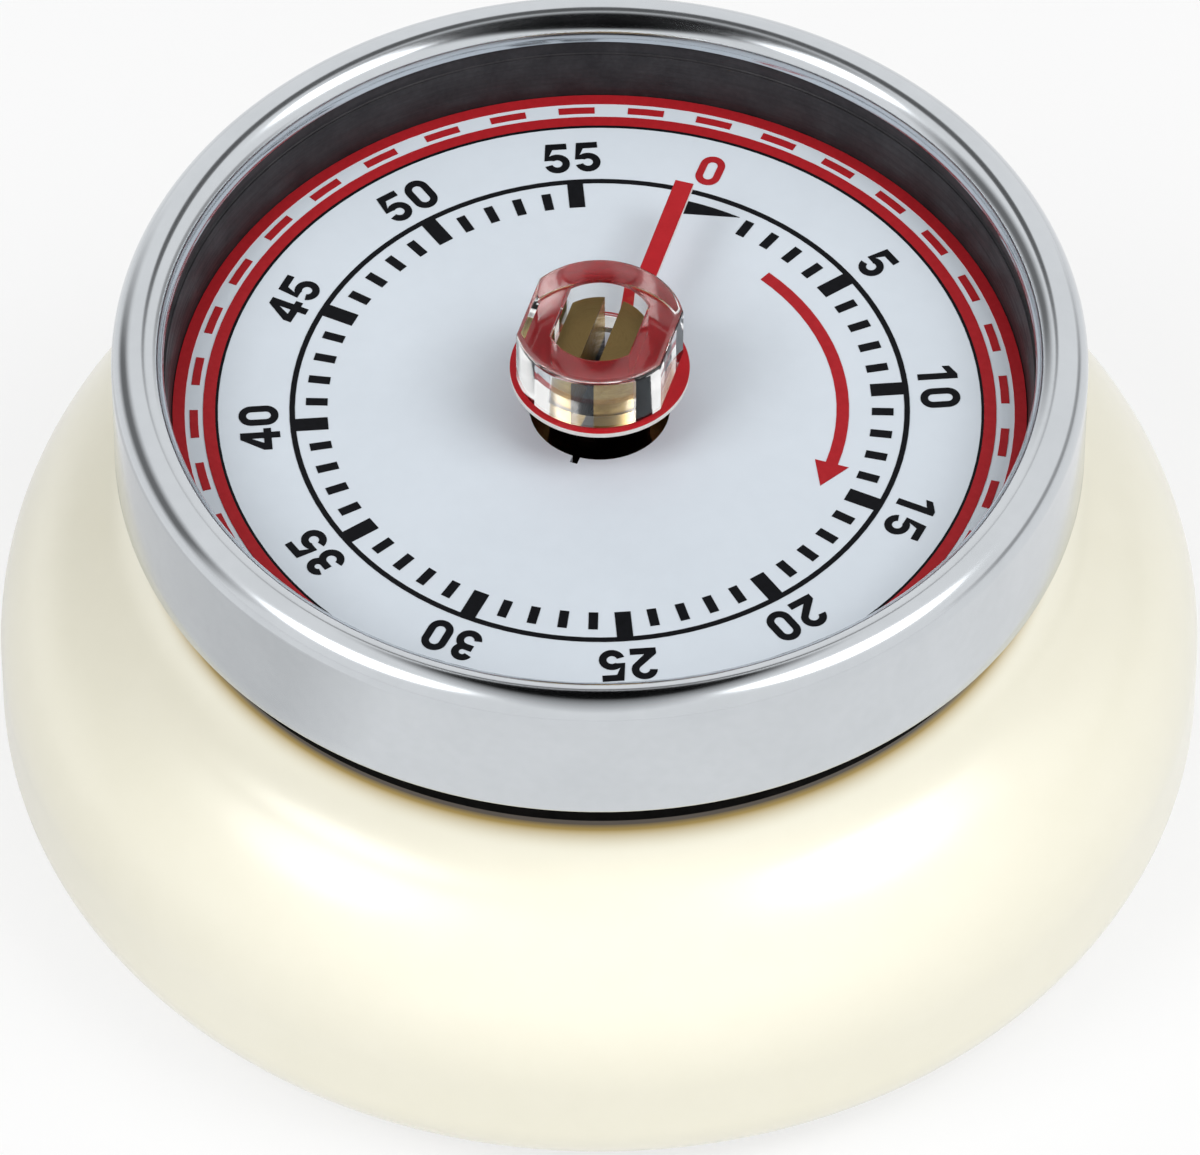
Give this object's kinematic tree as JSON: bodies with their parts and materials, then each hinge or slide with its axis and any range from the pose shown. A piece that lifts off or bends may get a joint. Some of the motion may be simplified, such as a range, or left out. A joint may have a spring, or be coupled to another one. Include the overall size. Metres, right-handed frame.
{
  "type": "kitchen timer",
  "caption": "Round magnetic kitchen timer: enamelled case with a waist, chromed bezel, printed minute dial, clear knob with a red pointer, and a clockwork movement with a bell.",
  "frame": {"origin": "centre of the underside, on the plane that the case stands on", "axes": "+Z out of the dial, +Y from the centre to the dial's zero, +X to the right of zero when the dial is seen from above"},
  "size_m": [0.07, 0.07, 0.035],
  "materials": {
    "enamel": "glossy cream enamel",
    "cover_paint": "satin dark grey paint",
    "steel": "bright zinc",
    "ferrite": "matt ferrite",
    "chrome": "polished chrome",
    "charcoal": "satin charcoal",
    "dial_lacquer": "pale satin lacquer",
    "ink_black": "printed ink",
    "ink_red": "printed ink",
    "acrylic": "clear polished acrylic",
    "pointer_red": "gloss red with pale edges",
    "brass": "bright brass",
    "plate_brass": "satin brass",
    "spring_steel": "blued spring steel",
    "bell_steel": "nickel plate"
  },
  "bodies": {
    "case": {"base_shell": "enamel", "back_cover": "cover_paint", "cover_screws": "steel", "cover_posts": "steel", "magnet": "ferrite", "magnet_cup": "steel", "cup_rivets": "steel", "bezel": "chrome", "dial_surround": "charcoal", "dial_plate": "dial_lacquer", "dial_print_black": "ink_black", "dial_print_red": "ink_red", "front_plate": "plate_brass", "rear_plate": "plate_brass", "pillars": "steel", "plate_screws": "steel", "movement_screws": "steel", "mainspring": "spring_steel", "spring_post": "steel", "bell": "bell_steel", "bell_post": "steel", "bell_screw": "steel", "hammer_spring": "spring_steel"},
    "winder": {"knob": "acrylic", "pointer": "pointer_red", "winding_arbor": "brass", "main_wheel": "brass", "ratchet_wheel": "steel", "ratchet_click": "steel", "strike_cam": "brass"},
    "second_mobile": {"second_arbor": "steel", "second_pinion": "steel", "second_wheel": "brass"},
    "third_mobile": {"third_arbor": "steel", "third_pinion": "steel", "third_wheel": "brass"},
    "escape_mobile": {"escape_arbor": "steel", "escape_pinion": "steel", "escape_wheel": "brass"},
    "balance": {"balance_staff": "steel", "pallet_fork": "steel", "balance_bar": "brass"},
    "hammer": {"hammer_arbor": "steel", "hammer_arm": "steel", "hammer_tail": "steel"}
  },
  "joints": [
    {"name": "wind", "type": "hinge", "parent": "case", "child": "winder", "pos_m": [0, 0, 0.018], "axis": [0, 0, -1], "range_deg": [0, 338.5], "deforming": ["mainspring"]},
    {"name": "second_turn", "type": "hinge", "parent": "case", "child": "second_mobile", "pos_m": [-0.0106, 0.00612, 0.018], "axis": [0, 0, -1], "range_deg": [-2708, 0]},
    {"name": "third_turn", "type": "hinge", "parent": "case", "child": "third_mobile", "pos_m": [-0.01215, -0.00335, 0.018], "axis": [0, 0, -1], "range_deg": [0, 18956]},
    {"name": "escape_turn", "type": "hinge", "parent": "case", "child": "escape_mobile", "pos_m": [-0.01026, -0.01039, 0.018], "axis": [0, 0, -1], "range_deg": [-113736, 0]},
    {"name": "balance_rock", "type": "hinge", "parent": "case", "child": "balance", "pos_m": [-0.00531, -0.0136, 0.018], "axis": [0, 0, -1], "range_deg": [-10, 10]},
    {"name": "hammer_swing", "type": "hinge", "parent": "case", "child": "hammer", "pos_m": [0.01472, -0.0085, 0.018], "axis": [0, 0, -1], "range_deg": [-4, 14], "stiffness_Nm_per_rad": 0.002, "deforming": ["hammer_spring"]}
  ],
  "couplings": [
    {"joint": "second_turn", "follows": "wind", "ratio": -8},
    {"joint": "third_turn", "follows": "wind", "ratio": 56},
    {"joint": "escape_turn", "follows": "wind", "ratio": -336}
  ]
}
